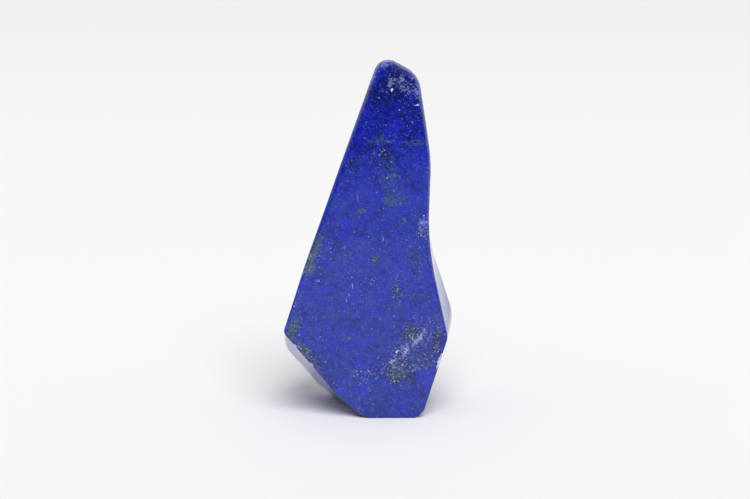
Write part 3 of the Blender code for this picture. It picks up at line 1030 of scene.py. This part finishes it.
def lapis_material():
    """Polished lapis: cloudy ultramarine with dark grain, grey-green, calcite and pyrite."""
    stone = Recipe("polished_lapis")
    here = stone.node("ShaderNodeTexCoord").outputs["Object"]
    place = stone.move("MULTIPLY", here, (1 / MM, 1 / MM, 1 / MM))
    axes = stone.node("ShaderNodeSeparateXYZ", {"Vector": place}).outputs
    zones = mineral_zones(stone, place, axes["Y"])
    colour = blue_body(stone, place, axes["Z"], zones)
    colour = salt_and_pepper(stone, place, colour, zones["dark"])
    colour = soft_zones(stone, place, axes["Z"], colour, zones)
    colour = mixed_grains(stone, place, colour, zones)
    # Painted highlight: the rounded edge turns pale, and so do the chips
    highlight_and_chip_share = stone.ramp(stone.grain(place, HIGHLIGHT_AND_CHIP_BREAKUP)["Fac"], *HIGHLIGHT_AND_CHIP_SPAN)
    highlight_and_chip_share = stone.math("MULTIPLY", zones["highlight_and_chips"], highlight_and_chip_share)
    colour = stone.blend(stone.math("MULTIPLY", highlight_and_chip_share, HIGHLIGHT_AND_CHIP_COVER), colour, HIGHLIGHT_AND_CHIP_PALE)

    warp = stone.grain(place, RAGGED_FLECKS)["Color"]
    warp = stone.move("MULTIPLY_ADD", warp, (FLECKS_STRAY,) * 3, place)
    warp = stone.move("SUBTRACT", warp, (FLECKS_STRAY / 2,) * 3)
    pale = fleck_shape(stone, warp, PALE_FLECKS)
    pale = stone.math("MAXIMUM", pale, streak_shape(stone, warp, PALE_STREAKS))
    colour = stone.blend(pale, colour, CALCITE)
    gold = fleck_shape(stone, warp, GOLD_FLECKS)
    colour = stone.blend(gold, colour, GOLD)

    stone.feed(stone.shader.inputs["Base Color"], colour)
    stone.feed(stone.shader.inputs["Metallic"], stone.math("MULTIPLY", gold, GOLD_METALLIC))
    smear = stone.grain(place, SMEAR)["Fac"]
    stone.feed(stone.shader.inputs["Roughness"], stone.ramp(smear, *ROUGHNESS_SPAN))
    stone.shader.inputs["IOR"].default_value = STONE_IOR
    pitting = {
        "Height": stone.grain(place, PITTING)["Fac"],
        "Strength": PITTING_STRENGTH,
        "Distance": PITTING_DEPTH,
    }
    bump = stone.node("ShaderNodeBump", pitting)
    stone.feed(stone.shader.inputs["Normal"], bump.outputs["Normal"])
    return stone.material


def make_stone():
    """The stone itself, which stands in for its solid."""
    mesh = stone_mesh()
    paint_minerals(mesh)
    mesh.materials.append(lapis_material())
    stone = bpy.data.objects.new("lapis_freeform", mesh)
    bpy.context.scene.collection.objects.link(stone)
    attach(stone, "root")
    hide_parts("lapis_stone")


# The room: brightness of its walls, its ceiling and its dim front, as a share of the walls, the
# tint of its light and the plain wall that the eye sees
ROOM_SIDES = 0.55
ROOM_TOP = 0.53
ROOM_DIM = 0.05
ROOM_LIGHT = (1.0, 1.0, 1.01, 1)
SEEN_WALL = (0.82, 0.82, 0.83, 1)

# Where the room changes, by how far the view points to the back, to the right or up. The front
# and a little of the left are dim up to a height, but not below the floor's edge.
DIM_FRONT = (0.1, -0.6)
DIM_LEFT = (-0.80, -1.0, 0.0, 0.3)
DIM_LOW = (0.70, 0.35)
DIM_ABOVE_FLOOR = (-0.12, 0.16)
CEILING = (0.45, 0.90)

# The lamp: its strength, how wide it looks, and how far from overhead it stands towards the front
# and the right, in degrees
LAMP_STRENGTH = 2.45
LAMP_SPREAD = 42.0
LAMP_TO_FRONT = 37.0
LAMP_TO_RIGHT = 10.0

# The table top: its front edge and how far it goes the other ways, in metres, its colours (the
# front and far ones darker as painted shade), where they change on the way back and on the way
# to the front, and its finish
TABLE_FRONT = -0.36
TABLE_REACH = 4.0
NEAR_FLOOR = (0.88, 0.88, 0.885, 1)
FRONT_FLOOR_SHADED = (0.77, 0.77, 0.775, 1)
FAR_FLOOR_SHADED = (0.81, 0.81, 0.815, 1)
FLOOR_TO_BACK = (0.0, 1.4)
FLOOR_TO_FRONT = (-0.02, -0.30)
FLOOR_ROUGHNESS = 0.9
FLOOR_SHINE = 0.1

# The camera: how far it looks down, in degrees, what it looks at and from how far, in millimetres,
# its lens, and the nearest and farthest things it sees, in metres
LOOKS_DOWN = 12.0
LOOKS_AT = (-5.0, -13.0, 54.4)
CAMERA_AWAY = 645.0
LENS = 100.0
SENSOR_WIDTH = 36.0
NEAREST = 0.01
FARTHEST = 50.0


def make_floor():
    """A wide pale matt table top that ends a little way in front of the stone, with painted shade
    that makes it darker far back and in front.
    """
    floor = Recipe("pale_floor")
    here = floor.node("ShaderNodeTexCoord").outputs["Object"]
    away = floor.node("ShaderNodeSeparateXYZ", {"Vector": here}).outputs["Y"]
    # Painted shade: the floor is darker far back and in front of the stone
    colour = floor.blend(floor.ramp(away, *FLOOR_TO_BACK), NEAR_FLOOR, FAR_FLOOR_SHADED)
    colour = floor.blend(floor.ramp(away, *FLOOR_TO_FRONT), colour, FRONT_FLOOR_SHADED)
    floor.feed(floor.shader.inputs["Base Color"], colour)
    floor.shader.inputs["Roughness"].default_value = FLOOR_ROUGHNESS
    floor.shader.inputs["Specular IOR Level"].default_value = FLOOR_SHINE
    bm = bmesh.new()
    spots = (
        (-TABLE_REACH, TABLE_FRONT),
        (TABLE_REACH, TABLE_FRONT),
        (TABLE_REACH, TABLE_REACH),
        (-TABLE_REACH, TABLE_REACH),
    )
    bm.faces.new([bm.verts.new((x, y, 0.0)) for x, y in spots])
    mesh = bpy.data.meshes.new("floor")
    bm.to_mesh(mesh)
    bm.free()
    mesh.materials.append(floor.material)
    plate = bpy.data.objects.new("floor", mesh)
    bpy.context.scene.collection.objects.link(plate)


def make_camera():
    """Looks down on the stone from in front, as the photograph does."""
    tilt = math.radians(LOOKS_DOWN)
    target = Vector(LOOKS_AT) * MM
    away = Vector((0.0, -math.cos(tilt), math.sin(tilt)))
    lens = bpy.data.cameras.new("camera")
    lens.lens = LENS
    lens.sensor_width = SENSOR_WIDTH
    lens.clip_start = NEAREST
    lens.clip_end = FARTHEST
    camera = bpy.data.objects.new("camera", lens)
    camera.location = target + away * CAMERA_AWAY * MM
    camera.rotation_euler = (math.radians(90.0) - tilt, 0.0, 0.0)
    bpy.context.scene.collection.objects.link(camera)
    bpy.context.scene.camera = camera


class Sky:
    """Short ways to build the room's light from the direction it comes from."""

    def __init__(self, name):
        self.world = bpy.data.worlds.new(name)
        self.world.use_nodes = True
        self.tree = self.world.node_tree
        self.room = self.tree.nodes["Background"]
        towards = self.tree.nodes.new("ShaderNodeTexCoord").outputs["Generated"]
        split = self.tree.nodes.new("ShaderNodeSeparateXYZ")
        self.tree.links.new(towards, split.inputs[0])
        self.x, self.y, self.z = split.outputs

    def rise(self, value, start, end, low=0.0, high=1.0):
        made = self.tree.nodes.new("ShaderNodeMapRange")
        made.interpolation_type = "SMOOTHSTEP"
        self.tree.links.new(value, made.inputs["Value"])
        names = "From Min", "From Max", "To Min", "To Max"
        for name, number in zip(names, (start, end, low, high)):
            made.inputs[name].default_value = number
        return made.outputs["Result"]

    def join(self, operation, first, second):
        made = self.tree.nodes.new("ShaderNodeMath")
        made.operation = operation
        self.tree.links.new(first, made.inputs[0])
        self.tree.links.new(second, made.inputs[1])
        return made.outputs[0]

    def show(self, strength, seen_colour):
        """Lights the room, and gives the eye a plain pale wall in place of it."""
        self.tree.links.new(strength, self.room.inputs["Strength"])
        path = self.tree.nodes.new("ShaderNodeLightPath")
        seen = self.tree.nodes.new("ShaderNodeBackground")
        seen.inputs["Color"].default_value = seen_colour
        mix = self.tree.nodes.new("ShaderNodeMixShader")
        self.tree.links.new(path.outputs["Is Camera Ray"], mix.inputs["Fac"])
        self.tree.links.new(self.room.outputs[0], mix.inputs[1])
        self.tree.links.new(seen.outputs[0], mix.inputs[2])
        self.tree.links.new(mix.outputs[0], self.tree.nodes["World Output"].inputs["Surface"])


def make_sky():
    """A pale room: bright above and behind the stone, dim low in front and a little to the left."""
    sky = Sky("pale_room")
    front = sky.rise(sky.y, *DIM_FRONT)
    left = sky.rise(sky.x, *DIM_LEFT)
    dark = sky.join("MULTIPLY", sky.join("MAXIMUM", front, left), sky.rise(sky.z, *DIM_LOW))
    dark = sky.join("MULTIPLY", dark, sky.rise(sky.z, *DIM_ABOVE_FLOOR))
    overhead = sky.rise(sky.z, *CEILING, ROOM_SIDES, ROOM_TOP)
    lit = sky.rise(dark, 0.0, 1.0, 1.0, ROOM_DIM)
    sky.room.inputs["Color"].default_value = ROOM_LIGHT
    sky.show(sky.join("MULTIPLY", overhead, lit), SEEN_WALL)
    bpy.context.scene.world = sky.world
    bpy.context.scene.view_settings.view_transform = "Standard"


def make_lights():
    """One soft lamp high up in front of the stone and a little to the right."""
    lamp = bpy.data.lights.new("soft_top_light", "SUN")
    lamp.energy = LAMP_STRENGTH
    lamp.angle = math.radians(LAMP_SPREAD)
    sun = bpy.data.objects.new("soft_top_light", lamp)
    sun.visible_glossy = False
    sun.rotation_euler = (math.radians(LAMP_TO_FRONT), math.radians(LAMP_TO_RIGHT), 0.0)
    bpy.context.scene.collection.objects.link(sun)


make_stone()
make_floor()
make_camera()
make_sky()
make_lights()
